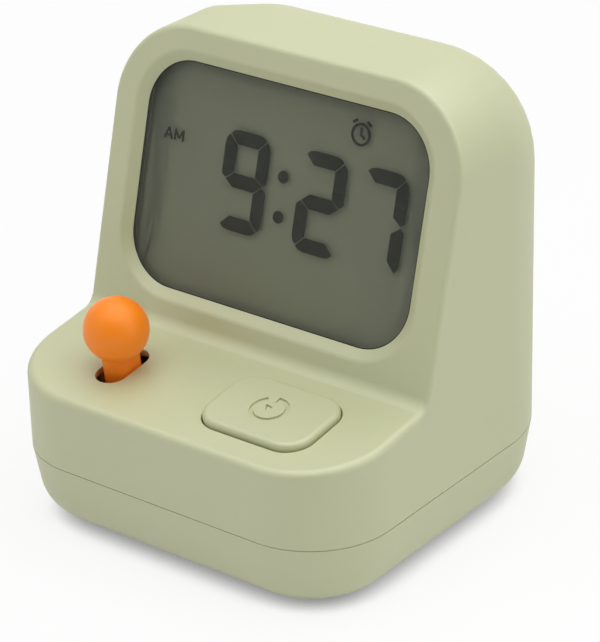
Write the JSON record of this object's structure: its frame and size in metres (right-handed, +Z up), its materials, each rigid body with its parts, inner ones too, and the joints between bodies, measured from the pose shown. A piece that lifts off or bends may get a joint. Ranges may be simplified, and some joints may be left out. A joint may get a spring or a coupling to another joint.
{
  "type": "alarm clock",
  "caption": "Small digital alarm clock shaped like an arcade cabinet, with a leaning screen, a tilting ball lever and a push button on its sloping deck.",
  "frame": {"origin": "on the table under the middle of the body's width and depth", "axes": "+Z up, the screen and deck face -Y, the lever is towards -X"},
  "size_m": [0.066, 0.0654, 0.0735],
  "materials": {
    "shell": "fine matte sage-green plastic",
    "orange": "satin orange plastic",
    "black_rubber": "matte black rubber",
    "film": "matte polariser film",
    "glass": "thin clear glass",
    "segment": "dark liquid-crystal segments",
    "seal": "grey edge seal",
    "reflector": "grey-green diffuse reflector",
    "white_plastic": "white moulded plastic",
    "black_plastic": "black moulded plastic",
    "zebra": "layered conductive silicone",
    "board": "green solder mask",
    "ceramic": "matte ceramic",
    "steel": "zinc-plated steel",
    "nickel": "nickel-plated spring steel",
    "brass": "thin brass",
    "ribbon": "grey flat cable",
    "lead": "plastic-sheathed wire",
    "cell": "plain printed metal can"
  },
  "bodies": {
    "case": {"upper_shell": "shell", "base_cover": "shell", "lcd_gasket": "black_rubber", "lcd_front_film": "film", "lcd_front_glass": "glass", "lcd_segments": "segment", "lcd_seal": "seal", "lcd_rear_glass": "glass", "lcd_reflector": "reflector", "lcd_tray": "white_plastic", "tray_screws": "steel", "zebra_strip": "zebra", "main_board": "board", "controller_blob": "black_plastic", "clock_crystal": "steel", "board_parts": "ceramic", "board_screws": "steel", "lever_axle": "steel", "lever_bracket": "white_plastic", "bracket_screws": "steel", "lever_springs": "steel", "lever_switches": "black_plastic", "deck_board": "board", "deck_board_screws": "steel", "button_switch": "black_plastic", "button_springs": "steel", "ribbon_plugs": "white_plastic", "ribbon_cable": "ribbon", "buzzer_disc": "brass", "buzzer_ceramic": "ceramic", "rear_key_board": "board", "rear_switches": "black_plastic", "rear_board_screws": "steel", "aaa_cell_front": "cell", "aaa_cell_rear": "cell", "contact_positive": "nickel", "contact_negative": "nickel", "contact_link": "nickel", "battery_leads": "lead", "rubber_feet": "black_rubber", "case_screws": "steel"},
    "lever": {"lever_knob": "orange", "lever_rocker": "white_plastic"},
    "deck_button": {"deck_button": "shell", "button_plunger": "white_plastic"},
    "set_key": {"set_key": "shell", "set_plunger": "white_plastic"},
    "alarm_key": {"alarm_key": "shell", "alarm_plunger": "white_plastic"},
    "battery_door": {"battery_door": "shell"}
  },
  "joints": [
    {"name": "lever_tilt", "type": "hinge", "parent": "case", "child": "lever", "pos_m": [-0.0159, -0.02, 0.01847], "axis": [1, 0, 0], "range_deg": [-11, 11], "stiffness_Nm_per_rad": 0.04, "deforming": ["lever_springs"]},
    {"name": "button_press", "type": "slide", "parent": "case", "child": "deck_button", "axis": [0, 0.1357, -0.9907], "range_m": [0, 0.0006], "stiffness_N_per_m": 2500, "deforming": ["button_springs"]},
    {"name": "set_press", "type": "slide", "parent": "case", "child": "set_key", "axis": [0, -1, 0], "range_m": [0, 0.0006], "stiffness_N_per_m": 2000},
    {"name": "alarm_press", "type": "slide", "parent": "case", "child": "alarm_key", "axis": [0, -1, 0], "range_m": [0, 0.0006], "stiffness_N_per_m": 2000},
    {"name": "battery_door_hinge", "type": "hinge", "parent": "case", "child": "battery_door", "pos_m": [0, -0.00475, 0.0018], "axis": [-1, 0, 0], "range_deg": [0, 85]}
  ]
}
